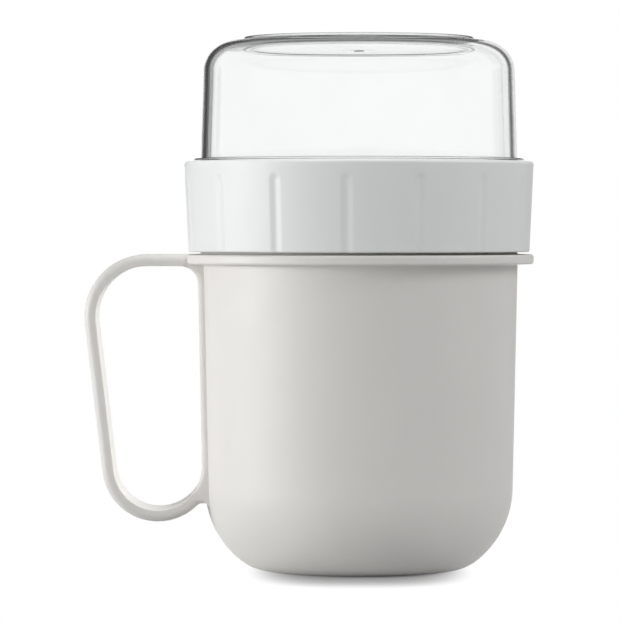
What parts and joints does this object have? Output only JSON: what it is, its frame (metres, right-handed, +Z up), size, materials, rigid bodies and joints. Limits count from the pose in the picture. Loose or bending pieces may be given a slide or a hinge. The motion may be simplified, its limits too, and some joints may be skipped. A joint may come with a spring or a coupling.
{
  "type": "cereal to-go cup",
  "caption": "To-go cup for cereal: a round-bottomed mug with a loop handle, a grooved screw collar with a closed floor, and a clear cup screwed upside down on top.",
  "frame": {"origin": "middle of the flat base of the mug, on the surface that it stands on", "axes": "+Z up along the axis of the mug, collar and clear cup; the handle points along -X"},
  "size_m": [0.1346, 0.105, 0.1599],
  "materials": {
    "mug_plastic": "satin",
    "collar_plastic": "satin",
    "clear_plastic": "polished",
    "silicone": "matte"
  },
  "bodies": {
    "mug": {"mug_body": "mug_plastic", "mug_handle": "mug_plastic"},
    "lower_seal": {"mug_seal": "silicone"},
    "collar": {"screw_collar": "collar_plastic"},
    "upper_seal": {"dome_seal": "silicone"},
    "dome": {"clear_dome": "clear_plastic"}
  },
  "joints": [
    {"name": "collar_lift", "type": "slide", "parent": "mug", "child": "lower_seal", "axis": [0, 0, 1], "range_m": [0, 0.005]},
    {"name": "collar_turn", "type": "hinge", "parent": "lower_seal", "child": "collar", "pos_m": [0, 0, 0.1], "axis": [0, 0, 1], "range_deg": [0, 450]},
    {"name": "dome_turn", "type": "hinge", "parent": "collar", "child": "upper_seal", "pos_m": [0, 0, 0.118], "axis": [0, 0, 1], "range_deg": [0, 360]},
    {"name": "dome_lift", "type": "slide", "parent": "upper_seal", "child": "dome", "axis": [0, 0, 1], "range_m": [0, 0.004]}
  ],
  "couplings": [
    {"joint": "collar_lift", "follows": "collar_turn", "m_per_rad": 0.00063662},
    {"joint": "dome_lift", "follows": "dome_turn", "m_per_rad": 0.00063662}
  ]
}
